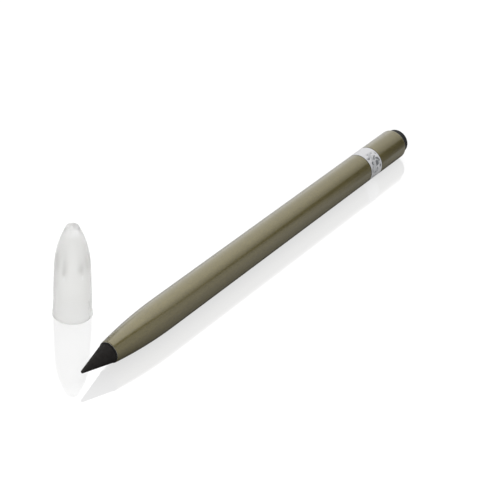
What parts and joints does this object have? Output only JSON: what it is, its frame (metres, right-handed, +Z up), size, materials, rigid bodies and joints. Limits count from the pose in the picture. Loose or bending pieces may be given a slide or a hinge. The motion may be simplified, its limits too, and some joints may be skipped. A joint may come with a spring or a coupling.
{
  "type": "inkless metal pencil",
  "caption": "Round inkless metal pencil with a graphite alloy nib, printed band, rubber eraser and a separate frosted push-on cap with inner guide ribs.",
  "frame": {"origin": "centre of the footprint of pencil and cap together, on the surface they stand on", "axes": "+X along the pencil from the nib to the eraser, +Y from the pencil towards the cap, +Z up"},
  "size_m": [0.151, 0.032, 0.0276],
  "materials": {
    "olive_lacquer": "satin metallic lacquer on aluminium",
    "turned_brass": "turned",
    "washer_rubber": "matte black",
    "graphite_alloy": "matte graphite composite",
    "stud_steel": "turned and threaded",
    "sleeve_plastic": "moulded",
    "band_print": "silver with a mottled grey print",
    "eraser_rubber": "satin black",
    "frosted_cap": "frosted translucent polypropylene"
  },
  "bodies": {
    "barrel": {"barrel": "olive_lacquer", "nose_bush": "turned_brass", "joiner_sleeve": "sleeve_plastic", "band": "band_print", "tail_tube": "olive_lacquer", "eraser_cup": "sleeve_plastic"},
    "nib_washer": {"nib_washer": "washer_rubber"},
    "nib": {"nib": "graphite_alloy", "nib_stud": "stud_steel"},
    "eraser": {"eraser": "eraser_rubber"},
    "cap": {"cap": "frosted_cap"}
  },
  "joints": [
    {"name": "nib_travel", "type": "slide", "parent": "barrel", "child": "nib_washer", "axis": [-1, 0, 0], "range_m": [0, 0.0075]},
    {"name": "nib_turn", "type": "hinge", "parent": "nib_washer", "child": "nib", "pos_m": [-0.06585, -0.01143, 0.0046], "axis": [-1, 0, 0], "range_deg": [0, 5400]},
    {"name": "eraser_pull", "type": "slide", "parent": "barrel", "child": "eraser", "axis": [1, 0, 0], "range_m": [0, 0.007]},
    {"name": "cap_lift", "type": "slide", "parent": "barrel", "child": "cap", "axis": [0, 0, 1], "range_m": [0, 0.025]}
  ],
  "couplings": [
    {"joint": "nib_turn", "follows": "nib_travel", "rad_per_m": 12566}
  ]
}
